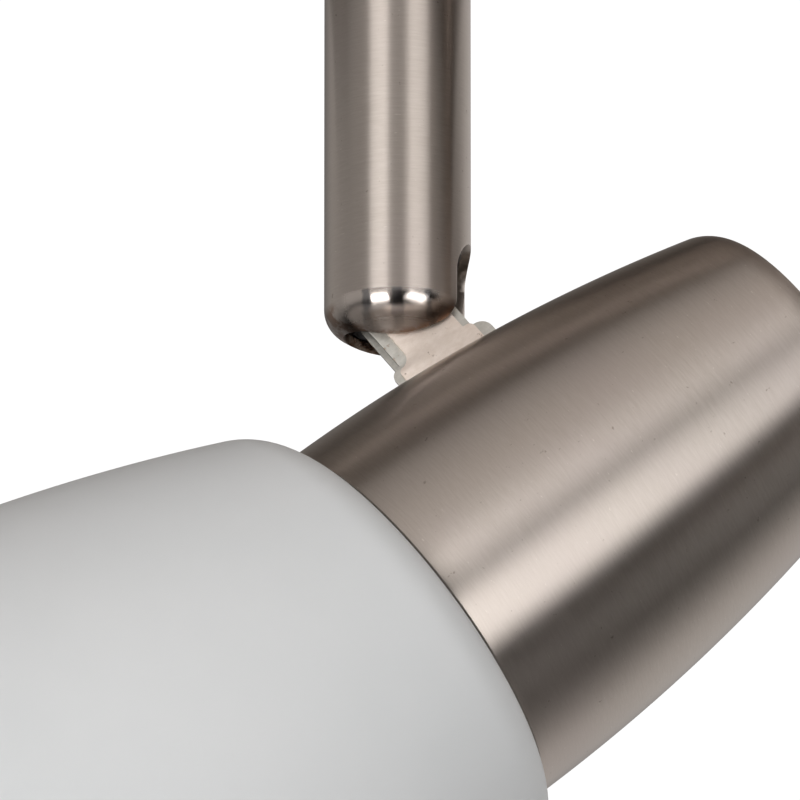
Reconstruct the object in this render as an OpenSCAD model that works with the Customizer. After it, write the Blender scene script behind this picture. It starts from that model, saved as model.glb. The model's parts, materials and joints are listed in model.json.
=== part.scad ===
// Ceiling light with two swivelling spot heads on a short rail.
// Millimetres, +Z up. The origin is the centre of the ceiling strap's top face,
// between its two fixing holes, so everything hangs below Z = 0.
// Head 1 is at -X and head 2 at +X. Head 2 is head 1 turned half a turn about Z.

/* [Ceiling rail] */
// Length of the rail channel, without its end caps
rail_len = 320; // [300:5:400]
// Width of the rail channel
rail_w = 36; // [34:1:44]
// Height of the rail channel
rail_h = 26; // [24:1:34]
// Sheet thickness of the rail channel
rail_t = 1.2; // [1:0.1:1.6]
// Distance from the middle of the rail to each stem
head_x = 100; // [90:1:120]

/* [Ceiling strap] */
// Length of the ceiling strap
strap_len = 120; // [114:1:150]
// Width of the ceiling strap
strap_w = 20; // [16:1:28]
// Thickness of the ceiling strap
strap_t = 2; // [1.5:0.1:3]
// Distance between the two ceiling fixing holes
fix_gap = 70; // [64:1:80]
// Radius of the ceiling fixing holes
fix_r = 2.6; // [2:0.1:3]
// Radius of the supply cable's hole
cable_r = 6; // [4:0.5:7]

/* [Stem] */
// Outer radius of the stem tube
stem_r = 8; // [7.5:0.1:8.5]
// Wall of the stem tube
stem_t = 1; // [0.8:0.1:1.1]
// Length of stem from the rail down to where its rounded end starts
stem_len = 46; // [40:1:120]
// Height of the rounded end
dome_h = 4.7; // [4.4:0.1:5]
// Radius of the rounded end's tight corner
dome_corner_r = 3.2; // [2.8:0.1:3.6]
// Width of the slot that the bracket swings in
slot_w = 8; // [7.8:0.1:8.4]
// Height of the slot's round top above the start of the rounded end
slot_top = 7.1; // [6.9:0.1:8]

/* [Joint] */
// Height of the tilt pivot above the start of the rounded end
pivot_up = 0.8; // [0.6:0.1:1.2]
// Radius of the two pivot pins
pin_r = 1.5; // [1.2:0.1:1.6]
// How far the head points down at rest, in degrees below level
rest_tilt = 39.3; // [16:0.1:79]
// Small turn of the housing about the bracket's arm, as assembled, in degrees
head_yaw = 9; // [0:0.5:10]
// Distance from the pivot square to the head's axis
axis_drop = 31; // [30.6:0.1:32]
// Distance from the housing's rim back to the pivot, along the head's axis
foot_back = 23.3; // [22:0.1:24]

/* [Housing] */
// Radius of the housing at its open rim
rim_r = 22.6; // [22:0.1:24]
// Wall of the housing
housing_t = 1; // [0.8:0.1:1.2]
// Radius of the long curve of the housing's side
side_curve_r = 210; // [200:5:240]
// Slope of the side where the back corner starts, in degrees
side_turn = 14; // [13:0.1:15]
// Radius of the housing's back corner
back_corner_r = 5; // [4:0.5:7]

/* [Glass shade] */
// Length of the shade in front of the housing
glass_len = 61; // [58:1:70]
// Wall of the shade
glass_t = 3; // [2.5:0.1:3.2]
// Radius of the flat back face, where the shoulder starts
glass_back_r = 20.5; // [20:0.1:21.5]
// Radius of the rounded shoulder
shoulder_r = 8.7; // [8:0.1:10]
// Slope of the shade's side just in front of the shoulder, in degrees
flare = 23.1; // [20:0.1:24]
// Radius of the long curve that eases the side's slope
glass_curve_r = 223; // [200:1:400]
// Radius of the hole for the lamp holder
glass_hole_r = 14.6; // [14.4:0.1:15]

/* [Lamp and holder] */
// Radius of the lamp holder's body
holder_r = 13.9; // [13.5:0.1:14]
// Radius of the round lamp
lamp_r = 22.5; // [20:0.5:22.5]
// Wall of the lamp's bulb
lamp_t = 1; // [0.6:0.1:1.5]
// Distance from the housing's rim to the middle of the round lamp
lamp_fwd = 36; // [34:0.5:37]

/* [Hidden] */
$fn = 96;
fine = 0.01;
heads = [1, 2];
base_nodes = [
    "rail", "end_cap_left", "end_cap_right", "ceiling_strap", "strap_studs", "cap_nuts",
    "terminal_block", "terminal_screws", "block_screw", "earth_screw"
];
head_nodes = [
    "rail_lead", "stop_rivet", "stem_tube", "stem_plug", "stem_nipple", "stop_washer", "stem_nut",
    "joint_insert", "pivot_pins", "stem_lead", "bracket", "bracket_screws", "housing",
    "holder_strap", "lamp_holder", "holder_contacts", "holder_nipple", "holder_nut",
    "shade_ring", "glass_shade", "lamp_cap", "lamp_bulb", "head_lead"
];

// Colours
nickel = [0.66, 0.62, 0.59];
bright_nickel = [0.80, 0.76, 0.70];
zinc = [0.72, 0.73, 0.74];
brass_tone = [0.78, 0.64, 0.32];
opal = [0.90, 0.91, 0.92];
bakelite = [0.12, 0.12, 0.12];
white_plastic = [0.90, 0.90, 0.88];

// Rail and strap
rail_edge_r = 4;
floor_z = -rail_h + rail_t;
stud_x = 52;
stud_r = 1.95;
block_x = 17;
block_size = [24, 16, 12];
block_poles = [block_x - 8, block_x, block_x + 8];
block_fix_x = block_x + 4;
block_screw_y = 4.5;
pole_r = 1.6;
pole_z = -strap_t - 5;
earth_x = -22;
cable_x = -8;
lead_r = 0.95;
lead_gap = 1.1;
lead_end_z = -16.2;

// Swivel at the top of each stem
play = 0.15;
snug = 0.05;
nipple_r = 4.9;
nipple_bore_r = 3.2;
washer_t = 1.2;
nut_h = 4;
nut_flats = 14;
stop_ring_r = 9.4;
dome_z = -rail_h - stem_len;
stem_top = stem_len - play;
plug_h = 8;
dome_crown_r = (pow(dome_h, 2) - pow(dome_corner_r, 2) + pow(stem_r - dome_corner_r, 2))
    / (2 * (dome_h - dome_corner_r));

// Joint at the bottom of each stem
insert_r = stem_r - stem_t - snug;
insert_top = 14;
slot_left = 5.9;
cheek_out = 3.5;
leaf_t = 0.6;
// Each leaf: half widths [left, right] of its neck and ears, drop and slope of its shoulders
outer_neck = [3.5, 3.2];
outer_ears = [5.3, 4.3];
outer_shoulder = 7.65;
outer_slope = 4.8;
inner_neck = [4.8, 4.1];
inner_ears = [6.2, 5.8];
inner_shoulder = 7.6;
inner_slope = 8.5;
cut_out_gap = 0.5;

// Housing and what is inside it, measured along the head's axis from the rim
web_top = 18.9;
plate_t = 1.2;
arm_foot = -axis_drop + web_top - plate_t;
screw_x = [-9, -14.5];
strap_half = 6;
back_plate_s = 31;
nipple_len = 11;
glass_front_gap = 0.1;

// Points of an arc about c, from angle a0 to a1, in n steps
function arc(c, r, a0, a1, n) =
    [for (k = [0:n]) let(a = a0 + (a1 - a0) * k / n) c + r * [cos(a), sin(a)]];

// Outline [radius, distance] of the housing, moved inwards by d
function housing_side(d) = arc([rim_r - side_curve_r, 0], side_curve_r - d, 0, side_turn, 12);
function corner_centre() = [
    rim_r - side_curve_r + (side_curve_r - back_corner_r) * cos(side_turn),
    (side_curve_r - back_corner_r) * sin(side_turn)
];
function housing_corner(d) = arc(corner_centre(), back_corner_r - d, side_turn, 80, 10);
function back_crown_r() = (corner_centre()[0] + back_corner_r * cos(80)) / cos(80);
function back_crown_s() = corner_centre()[1] + back_corner_r * sin(80) - back_crown_r() * sin(80);
function housing_back(d) = arc([0, back_crown_s()], back_crown_r() - d, 80, 90, 5);
function housing_outline(d) = concat(housing_side(d), housing_corner(d), housing_back(d));

// Outline [radius, distance] of the shade's outer face, moved inwards by d
shoulder_c = [glass_back_r, -shoulder_r];
glass_side_start = shoulder_c + shoulder_r * [cos(flare), sin(flare)];
glass_curve_c = glass_side_start - glass_curve_r * [cos(flare), sin(flare)];
glass_end_turn = asin((-glass_len - glass_curve_c[1]) / glass_curve_r);
function glass_outline(d) = concat(
    arc(shoulder_c, shoulder_r - d, 90, flare, 10),
    arc(glass_curve_c, glass_curve_r - d, flare, glass_end_turn, 10)
);

// The shade's front edge is a half round between its outer and inner faces
glass_rim_c = glass_curve_c + (glass_curve_r - glass_t / 2) * [cos(glass_end_turn), sin(glass_end_turn)];
function glass_rim() = arc(glass_rim_c, glass_t / 2, glass_end_turn - 18, glass_end_turn - 162, 6);

// Outline [radius, height] of the stem's rounded end, moved inwards by d
dome_join = asin((stem_r - dome_corner_r) / (dome_crown_r - dome_corner_r));
function dome_outline(d) = concat(
    arc([0, dome_crown_r - dome_h], dome_crown_r - d, -90, -90 + dome_join, 8),
    arc([stem_r - dome_corner_r, 0], dome_corner_r - d, -90 + dome_join, 0, 8)
);

// Places of the moving groups
module at_stem(i) {
    translate([i == 1 ? -head_x : head_x, 0, dome_z])
        rotate([0, 0, i == 1 ? 0 : 180]) children();
}

// The pivot is the origin, the arm runs along Z and the head's back is at +X
module at_arm(i) {
    at_stem(i) translate([0, 0, pivot_up]) rotate([0, -rest_tilt, 0]) children();
}

// The head's axis is Z, with the rim at Z = 0, the back at +Z and the arm's side at -X
module at_head(i) {
    at_arm(i) rotate([0, 0, head_yaw]) translate([-foot_back, 0, -axis_drop])
        rotate([0, 90, 0]) children();
}

// Points of the rounded corner b between a and c
function corner(a, b, c, r, n) =
    let(
        u = (a - b) / norm(a - b),
        v = (c - b) / norm(c - b),
        half = acos(u * v) / 2,
        m = b + (u + v) / norm(u + v) * r / sin(half),
        p = b + u * r / tan(half) - m,
        q = b + v * r / tan(half) - m,
        a0 = atan2(p[1], p[0]),
        a1 = atan2(q[1], q[0]),
        turn = a1 - a0 > 180 ? a1 - a0 - 360 : a1 - a0 < -180 ? a1 - a0 + 360 : a1 - a0
    )
    arc(m, r, a0, a0 + turn, n);

// Shapes used more than once
module ring(r_out, r_in, h) {
    difference() {
        cylinder(r = r_out, h = h);
        translate([0, 0, -1]) cylinder(r = r_in, h = h + 2);
    }
}

module hex_nut(flats, r_in, h) {
    difference() {
        cylinder(r = flats / sqrt(3), h = h, $fn = 6);
        translate([0, 0, -1]) cylinder(r = r_in, h = h + 2);
    }
}

module slotted_screw(head_r, head_h, shank_r, shank_h) {
    difference() {
        union() {
            cylinder(r = head_r, h = head_h);
            translate([0, 0, -shank_h]) cylinder(r = shank_r, h = shank_h + fine);
        }
        translate([-head_r, -0.4, head_h - 0.7]) cube([2 * head_r, 0.8, 1]);
    }
}

// A route with its corners cut twice, so that a wire bends smoothly along it
function cut_corners(p) = concat(
    [p[0]],
    [for (k = [0:len(p) - 2]) each [0.75 * p[k] + 0.25 * p[k + 1], 0.25 * p[k] + 0.75 * p[k + 1]]],
    [p[len(p) - 1]]
);
function unit(v) = v / norm(v);

// A round wire along a route. No stretch of the route is parallel to aside.
module wire(route, aside) {
    sides = 8;
    p = cut_corners(cut_corners(route));
    last = len(p) - 1;
    along = [for (k = [0:last]) unit(p[min(k + 1, last)] - p[max(k - 1, 0)])];
    points = [for (k = [0:last], j = [0:sides - 1])
        let(u = unit(cross(aside, along[k])), v = cross(along[k], u), a = 360 * j / sides)
            p[k] + lead_r * (cos(a) * u + sin(a) * v)];
    skin = [for (k = [0:last - 1], j = [0:sides - 1])
        let(a = k * sides + j, b = k * sides + (j + 1) % sides)
            each [[a, b + sides, b], [a, a + sides, b + sides]]];
    polyhedron(points, concat(
        [[for (j = [0:sides - 1]) j]],
        skin,
        [[for (j = [sides - 1:-1:0]) last * sides + j]]
    ));
}

// Rail
module rail_outline(d) {
    union() {
        translate([-rail_w / 2 + d, -rail_h + rail_edge_r])
            square([rail_w - 2 * d, rail_h - rail_edge_r + d]);
        translate([-rail_w / 2 + rail_edge_r, -rail_h + d])
            square([rail_w - 2 * rail_edge_r, rail_edge_r]);
        for (side = [-1, 1])
            translate([side * (rail_w / 2 - rail_edge_r), -rail_h + rail_edge_r]) circle(r = rail_edge_r - d);
    }
}

module along_rail(length) {
    translate([-length / 2, 0, 0]) rotate([90, 0, 90]) linear_extrude(length) children();
}

module rail() {
    color(nickel) difference() {
        along_rail(rail_len) difference() {
            rail_outline(0);
            rail_outline(rail_t);
        }
        for (side = [-1, 1]) {
            translate([side * head_x, 0, -rail_h - 1]) cylinder(r = nipple_r + 0.1, h = rail_t + 2);
            translate([side * stud_x, 0, -rail_h - 1]) cylinder(r = stud_r + 0.25, h = rail_t + 2);
            translate([side * (head_x + stop_ring_r), 0, -rail_h - 1]) cylinder(r = 0.7, h = rail_t + 2);
        }
    }
}

module end_cap() {
    color(nickel) difference() {
        union() {
            along_rail(1.5) intersection() {
                rail_outline(0);
                translate([-rail_w, -2 * rail_h]) square([2 * rail_w, 2 * rail_h]);
            }
            translate([-2, 0, 0]) along_rail(3) intersection() {
                rail_outline(rail_t + 0.05);
                translate([-rail_w, -2 * rail_h]) square([2 * rail_w, 2 * rail_h - 0.5]);
            }
        }
        translate([-2.75, 0, 0]) along_rail(4) translate([-rail_w / 2 + 3, -rail_h + 3])
            square([rail_w - 6, rail_h]);
    }
}

module end_cap_right() {
    translate([rail_len / 2 + 0.75 + fine, 0, 0]) end_cap();
}

module end_cap_left() {
    rotate([0, 0, 180]) end_cap_right();
}

// Strap against the ceiling, and what is fixed to it
module ceiling_strap() {
    color(zinc) difference() {
        translate([-strap_len / 2, -strap_w / 2, -strap_t]) cube([strap_len, strap_w, strap_t]);
        for (side = [-1, 1]) {
            translate([side * fix_gap / 2, 0, -strap_t - 1]) cylinder(r = fix_r, h = strap_t + 2);
            translate([side * stud_x, 0, -strap_t - 1]) cylinder(r = stud_r + 0.05, h = strap_t + 2);
        }
        translate([cable_x, 0, -strap_t - 1]) cylinder(r = cable_r, h = strap_t + 2);
        translate([earth_x, 0, -strap_t - 1]) cylinder(r = 1.9, h = strap_t + 2);
        translate([block_fix_x, 0, -strap_t - 1]) cylinder(r = 1.45, h = strap_t + 2);
    }
}

module strap_studs() {
    color(zinc) for (side = [-1, 1]) translate([side * stud_x, 0, 0]) {
        translate([0, 0, -rail_h - 5]) cylinder(r = stud_r, h = rail_h + 5 - 0.1);
        translate([0, 0, -strap_t - 3]) cylinder(r = 7 / sqrt(3), h = 3, $fn = 6);
    }
}

module cap_nuts() {
    color(nickel) for (side = [-1, 1]) translate([side * stud_x, 0, -rail_h])
        difference() {
            rotate_extrude() polygon(concat(
                [[0, 0], [4.6, 0], [5, -0.4]],
                arc([3, -5], 2, 0, -60, 6),
                arc([0, 0.2], 8, -60, -90, 5)
            ));
            translate([0, 0, -5.6]) cylinder(r = stud_r + 0.05, h = 6);
        }
}

module terminal_block() {
    color(white_plastic) difference() {
        translate([block_x - block_size[0] / 2, -block_size[1] / 2, -strap_t - block_size[2]])
            cube(block_size);
        for (pole = block_poles) {
            translate([pole, 0, pole_z]) rotate([90, 0, 0])
                cylinder(r = pole_r, h = block_size[1] + 2, center = true);
            for (side = [-1, 1])
                translate([pole, side * block_screw_y, -strap_t - block_size[2] - 1])
                    cylinder(r = pole_r, h = block_size[2] - 4);
        }
        translate([block_fix_x, 0, -strap_t - block_size[2] - 1])
            cylinder(r = 1.55, h = block_size[2] + 2);
        for (gap_x = [block_x - 4, block_x + 4], side = [-1, 1])
            translate([gap_x - 0.6, side * (block_size[1] / 2 - 0.5) - 1.5, -strap_t - block_size[2] - 1])
                cube([1.2, 3, block_size[2] - 1]);
    }
}

module terminal_screws() {
    color(zinc) for (pole = block_poles, side = [-1, 1])
        translate([pole, side * block_screw_y, -strap_t - block_size[2] + 2.4]) rotate([180, 0, 0])
            slotted_screw(pole_r - 0.1, 1.6, 1.2, 0.8);
}

module block_screw() {
    color(zinc) translate([block_fix_x, 0, -strap_t - block_size[2]]) rotate([180, 0, 0])
        slotted_screw(2.6, 1.8, 1.45, block_size[2] + strap_t - 0.3);
}

module earth_screw() {
    color(brass_tone) translate([earth_x, 0, -strap_t - 1]) rotate([180, 0, 0])
        slotted_screw(3.4, 2.4, 1.85, strap_t + 0.7);
    color(brass_tone) translate([earth_x, 0, -strap_t - 1]) ring(4.4, 1.9, 0.95);
}

// Both wires leave the terminal block on one side and end above the stem's nipple
module rail_lead(i) {
    side = i == 1 ? -1 : 1;
    color(white_plastic) for (k = [0, 1]) {
        pole = block_poles[1 + side * (1 - k)];
        wide = side * (10 + 2.4 * k);
        near = (k == 0 ? -1 : 1) * side * lead_gap;
        route = [
            [pole, side * 6.8, pole_z],
            [pole, wide, pole_z],
            [side * 76, wide, pole_z - 2],
            [side * (head_x - 6), near, pole_z - 4],
            [side * head_x, near, pole_z - 6],
            [side * head_x, near, lead_end_z]
        ];
        wire(route, [side, side, 1]);
    }
}

// The rivet stands on the rail's floor, opposite the washer's tab
module stop_rivet(i) {
    color(zinc) translate([(i == 1 ? -1 : 1) * (head_x + stop_ring_r), 0, -rail_h]) {
        cylinder(r = 0.65, h = rail_t + fine);
        translate([0, 0, rail_t]) cylinder(r = 1, h = 2.6);
    }
}

// Stem
module slot_cutter() {
    mouth = slot_w / 2 - slot_left;
    tall = 2 * dome_h + slot_top - slot_w / 2;
    translate([mouth, 0, -2 * dome_h]) cylinder(r = slot_w / 2, h = tall);
    translate([mouth, -slot_w / 2, -2 * dome_h]) cube([2 * stem_r, slot_w, tall]);
    translate([0, 0, slot_top - slot_w / 2]) rotate([0, 90, 0]) cylinder(r = slot_w / 2, h = 2 * stem_r);
}

module stem_tube(i) {
    color(nickel) at_stem(i) difference() {
        rotate_extrude() polygon(concat(
            dome_outline(0),
            [[stem_r, stem_top - 0.3], [stem_r - 0.3, stem_top], [stem_r - stem_t, stem_top]],
            [for (k = [len(dome_outline(0)) - 1:-1:0]) dome_outline(stem_t)[k]]
        ));
        slot_cutter();
    }
}

module stem_plug(i) {
    color(zinc) at_stem(i) translate([0, 0, stem_top - plug_h])
        ring(stem_r - stem_t - snug, nipple_r, plug_h);
}

module stem_nipple(i) {
    color(zinc) at_stem(i) translate([0, 0, stem_top - plug_h])
        ring(nipple_r, nipple_bore_r, plug_h + 2 * play + rail_t + washer_t + nut_h + 1.2);
}

module stop_washer(i) {
    color(zinc) at_stem(i) translate([0, 0, stem_len + rail_t + play]) difference() {
        union() {
            cylinder(r = stem_r, h = washer_t);
            translate([0, -1.2, 0]) cube([stop_ring_r + 1.2, 2.4, washer_t]);
        }
        translate([0, 0, -1]) cylinder(r = nipple_r, h = washer_t + 2);
    }
}

module stem_nut(i) {
    color(zinc) at_stem(i) translate([0, 0, stem_len + rail_t + play + washer_t])
        hex_nut(nut_flats, nipple_r, nut_h);
}

// The insert fills the stem's end and carries the pivot pins on both sides of the bracket
module joint_insert(i) {
    color(zinc) at_stem(i) difference() {
        rotate_extrude() polygon(concat(
            [[0, -1.9]],
            arc([stem_r - dome_corner_r, 0], insert_r - stem_r + dome_corner_r, -60, 0, 6),
            [[insert_r, insert_top], [0, insert_top]]
        ));
        translate([-2 * stem_r, -slot_w / 2 + 0.15, -dome_h])
            cube([4 * stem_r, slot_w - 0.3, dome_h + pivot_up + inner_neck[0] + 0.6]);
        translate([0, 0, -1]) cylinder(r = 2.6, h = insert_top + 2);
        translate([0, 0, pivot_up]) rotate([90, 0, 0]) cylinder(r = pin_r, h = 4 * stem_r, center = true);
    }
}

module pivot_pins(i) {
    color(zinc) at_stem(i) for (side = [-1, 1])
        translate([0, side * 4.4, pivot_up]) rotate([90, 0, 0]) cylinder(r = pin_r, h = 4.2, center = true);
}

module stem_lead(i) {
    color(white_plastic) at_stem(i) for (side = [-1, 1])
        translate([0, side * lead_gap, pivot_up + 1.4])
            cylinder(r = lead_r, h = lead_end_z - 0.3 - lead_r - dome_z - pivot_up - 1.4, $fn = 24);
}

// Bracket: each cheek has a narrow outer leaf and a wider inner leaf, whose shoulders run
// along the housing's side. A web inside the housing joins the cheeks.
function shoulder(x, drop, slope) = [x, -drop - x * tan(slope)];

module leaf(neck, ears, drop, slope, fillets, rounds) {
    top_r = (neck[0] + neck[1]) / 2;
    neck_right = shoulder(neck[1], drop, slope);
    ear_right = shoulder(ears[1], drop, slope);
    ear_left = shoulder(-ears[0], drop, slope);
    neck_left = shoulder(-neck[0], drop, slope);
    difference() {
        polygon(concat(
            arc([neck[1] - top_r, 0], top_r, 180, 0, 24),
            corner([neck[1], 0], neck_right, ear_right, fillets[1], 4),
            corner(neck_right, ear_right, [ears[1], arm_foot], rounds[1], 6),
            [[ears[1], arm_foot], [-ears[0], arm_foot]],
            corner([-ears[0], arm_foot], ear_left, neck_left, rounds[0], 6),
            corner(ear_left, neck_left, [-neck[0], 0], fillets[0], 6)
        ));
        circle(r = pin_r + snug);
    }
}

module cheek() {
    rotate([90, 0, 0]) {
        translate([0, 0, cheek_out - leaf_t]) linear_extrude(leaf_t)
            leaf(outer_neck, outer_ears, outer_shoulder, outer_slope, [1.3, 0.2], [0.5, 0.8]);
        translate([0, 0, cheek_out - 2 * leaf_t]) linear_extrude(leaf_t + fine)
            leaf(inner_neck, inner_ears, inner_shoulder, inner_slope, [0.3, 0.1], [0.9, 1.5]);
    }
}

module bracket(i) {
    color(bright_nickel) at_arm(i) {
        cheek();
        mirror([0, 1, 0]) cheek();
        difference() {
            translate([-17, -cheek_out, arm_foot]) cube([17 + outer_ears[1], 2 * cheek_out, plate_t]);
            translate([-2, -cheek_out + 2 * leaf_t - 0.1, -axis_drop])
                cube([4, 2 * (cheek_out - 2 * leaf_t + 0.1), axis_drop]);
            for (x = screw_x) translate([x, 0, -axis_drop]) cylinder(r = 1.45, h = axis_drop);
        }
    }
}

module bracket_screws(i) {
    color(zinc) at_arm(i) for (x = screw_x)
        translate([x, 0, arm_foot - plate_t]) rotate([180, 0, 0])
            slotted_screw(2.5, 1.4, 1.4, 2 * plate_t + 0.1);
}

// Housing, with a cut-out for the bracket
module housing(i) {
    color(nickel) difference() {
        at_head(i) rotate_extrude() polygon(concat(
            housing_outline(0),
            [for (k = [len(housing_outline(0)) - 1:-1:0]) housing_outline(housing_t)[k]]
        ));
        at_arm(i)
            translate([-inner_ears[0] - cut_out_gap, -cheek_out - cut_out_gap, arm_foot + plate_t - 1])
                cube([
                    inner_ears[0] + inner_ears[1] + 2 * cut_out_gap,
                    2 * (cheek_out + cut_out_gap),
                    axis_drop
                ]);
    }
}

// The strap lies under the bracket's web and turns down behind the lamp holder
module holder_strap(i) {
    color(zinc) difference() {
        at_head(i) {
            translate([-web_top + plate_t, -strap_half, 3.5])
                cube([plate_t, 2 * strap_half, back_plate_s - 3.5 + plate_t]);
            difference() {
                union() {
                    translate([-web_top + plate_t, -strap_half, back_plate_s])
                        cube([web_top, 2 * strap_half, plate_t]);
                    translate([-9, -9, back_plate_s]) cube([18, 18, plate_t]);
                }
                translate([0, 0, back_plate_s - 1]) cylinder(r = nipple_r, h = plate_t + 2);
                translate([-15.6, 0, back_plate_s - 1]) cylinder(r = 2.3, h = plate_t + 2);
            }
        }
        at_arm(i) {
            translate([-2, -2.4, -axis_drop]) cube([4, 4.8, axis_drop]);
            for (x = screw_x) translate([x, 0, -axis_drop]) cylinder(r = 1.4, h = axis_drop);
        }
    }
}

// Lamp holder, its contacts and what fixes it
module lamp_holder(i) {
    color(bakelite) at_head(i) rotate_extrude() polygon([
        [10, -12], [holder_r - 0.4, -12], [holder_r, -11.6], [holder_r, glass_front_gap],
        [17, glass_front_gap], [17, 2.1], [holder_r, 2.1], [holder_r, 26], [9, back_plate_s],
        [nipple_r, back_plate_s], [nipple_r, 26], [8, 24], [8, -4], [10, -5]
    ]);
}

module holder_contacts(i) {
    color(brass_tone) at_head(i) {
        translate([0, 0, -3.5]) ring(7.9, 7.3, 22);
        translate([-7.7, -2, 20.2]) cube([15.4, 4, 0.6]);
    }
}

module holder_nipple(i) {
    color(zinc) at_head(i) translate([0, 0, 26.2]) ring(nipple_r, nipple_bore_r, nipple_len);
}

module holder_nut(i) {
    color(zinc) at_head(i) translate([0, 0, back_plate_s + plate_t]) hex_nut(nut_flats, nipple_r, nut_h);
}

module shade_ring(i) {
    color(white_plastic) at_head(i) difference() {
        rotate_extrude() polygon([
            [holder_r + 0.05, -glass_t - 6.1], [16.4, -glass_t - 6.1], [17, -glass_t - 5.5],
            [17, -glass_t - 2.6], [19.2, -glass_t - 2.2], [19.2, -glass_t - 0.1],
            [holder_r + 0.05, -glass_t - 0.1]
        ]);
        for (a = [0:15:345]) rotate([0, 0, a])
            translate([17.3, 0, -glass_t - 7]) cylinder(r = 0.8, h = 4.2);
    }
}

// Glass shade: flat back with a round hole, rounded shoulder, flared side
module glass_shade(i) {
    color(opal) at_head(i) rotate_extrude() polygon(concat(
        [[glass_hole_r, 0]],
        glass_outline(0),
        glass_rim(),
        [for (k = [len(glass_outline(0)) - 1:-1:0]) glass_outline(glass_t)[k]],
        [[glass_hole_r, -glass_t]]
    ));
}

module lamp_cap(i) {
    color(zinc) at_head(i) rotate_extrude() polygon([
        [6.3, -5.5], [6.9, -5.5], [6.9, 16], [4.5, 18.4], [2.2, 18.6], [2, 19.8], [0, 20],
        [0, 17.8], [4.1, 17.7], [6.3, 15.6]
    ]);
}

module lamp_bulb(i) {
    neck_end = 62;
    color(opal) at_head(i) rotate_extrude() polygon(concat(
        [[5.9, -5.6], [7, -5.6], [7.2, -8]],
        arc([0, -lamp_fwd], lamp_r, neck_end, -90, 26),
        arc([0, -lamp_fwd], lamp_r - lamp_t, -90, neck_end, 26),
        [[6.1, -8]]
    ));
}

// Wires from the pivot, through the bracket's web and round into the holder's nipple
module head_lead(i) {
    color(white_plastic) at_head(i) for (side = [-1, 1])
        wire([for (p = [
            [axis_drop, foot_back], [16.5, foot_back], [15.3, foot_back + 1.4],
            [15.3, back_plate_s + 3], [12, back_plate_s + 9], [6, back_plate_s + 11],
            [1, back_plate_s + 9.5], [0, back_plate_s + 4]
        ]) [-p[0], side * lead_gap, p[1]]], [0, 1, 0]);
}

rail();
end_cap_left();
end_cap_right();
ceiling_strap();
strap_studs();
cap_nuts();
terminal_block();
terminal_screws();
block_screw();
earth_screw();
for (i = heads) {
    rail_lead(i);
    stop_rivet(i);
    stem_tube(i);
    stem_plug(i);
    stem_nipple(i);
    stop_washer(i);
    stem_nut(i);
    joint_insert(i);
    pivot_pins(i);
    stem_lead(i);
    bracket(i);
    bracket_screws(i);
    housing(i);
    holder_strap(i);
    lamp_holder(i);
    holder_contacts(i);
    holder_nipple(i);
    holder_nut(i);
    shade_ring(i);
    glass_shade(i);
    lamp_cap(i);
    lamp_bulb(i);
    head_lead(i);
}
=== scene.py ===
"""Ceiling rail light with two swivelling spot heads: its looks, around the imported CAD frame.

Lengths named here are in millimetres, apart from the stage's, and are turned into metres by MM.
Angles are in degrees. The pieces' places come from the frame's joints and the nodes' boxes.
"""

import json
import math

import bmesh
import bpy
from mathutils import Matrix, Vector


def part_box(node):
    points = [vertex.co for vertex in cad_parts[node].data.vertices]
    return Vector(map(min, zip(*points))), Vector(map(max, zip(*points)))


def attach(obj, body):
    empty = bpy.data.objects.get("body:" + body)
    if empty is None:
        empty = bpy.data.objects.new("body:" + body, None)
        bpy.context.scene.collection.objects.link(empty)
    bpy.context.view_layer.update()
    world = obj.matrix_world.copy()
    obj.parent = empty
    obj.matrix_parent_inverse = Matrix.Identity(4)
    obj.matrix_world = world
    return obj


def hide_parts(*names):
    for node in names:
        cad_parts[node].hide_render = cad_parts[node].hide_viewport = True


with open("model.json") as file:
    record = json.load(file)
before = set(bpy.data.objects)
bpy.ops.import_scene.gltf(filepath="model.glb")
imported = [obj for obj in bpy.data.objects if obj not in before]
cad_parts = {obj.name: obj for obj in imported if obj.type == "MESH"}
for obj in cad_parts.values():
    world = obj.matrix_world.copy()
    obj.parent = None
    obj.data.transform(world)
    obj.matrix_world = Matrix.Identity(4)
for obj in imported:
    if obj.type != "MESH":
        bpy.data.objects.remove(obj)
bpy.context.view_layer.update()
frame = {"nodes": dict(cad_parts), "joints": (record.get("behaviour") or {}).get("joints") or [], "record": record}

MM = 0.001
HEADS = (1, 2)

# Stem
STEM_R = 8.0
STEM_WALL = 1.0
DOME_H = 4.7
DOME_CORNER_R = 3.2
SLOT_W = 8.0
SLOT_TOP = 7.1
SLOT_LEFT = 5.9
PIVOT_UP = 0.8
TOP_CHAMFER = 0.3
BELOW_DOME = -20

# Head
REST_TILT = 39.3
HEAD_YAW = 9.0
AXIS_DROP = 31.0
FOOT_BACK = 23.3
RIM_R = 22.6
HOUSING_WALL = 1.0
SIDE_CURVE_R = 210.0
SIDE_TURN = 14.0
BACK_CORNER_R = 5.0
BACK_CORNER_END = 80

# Bracket
CHEEK_OUT = 3.5
LEAF_WALL = 0.6
OUTER_LEAF = {
    "neck": (3.5, 3.2), "ears": (5.3, 4.3), "drop": 7.65, "slope": 4.8,
    "fillets": (1.3, 0.2), "rounds": (0.5, 0.8),
}
INNER_LEAF = {
    "neck": (4.8, 4.1), "ears": (6.2, 5.8), "drop": 7.6, "slope": 8.5,
    "fillets": (0.3, 0.1), "rounds": (0.9, 1.5),
}
PIN_HOLE_R = 1.55
LEAF_SEAM = 0.01
WEB_BACK = -17.0
LEAD_HOLE = (2.0, 2.2)
CUT_OUT_GAP = 0.5
CUT_OUT_CORNER_R = 0.6
WEB_TOP = 18.9
PLATE_WALL = 1.2
ARM_FOOT = WEB_TOP - PLATE_WALL - AXIS_DROP

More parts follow.
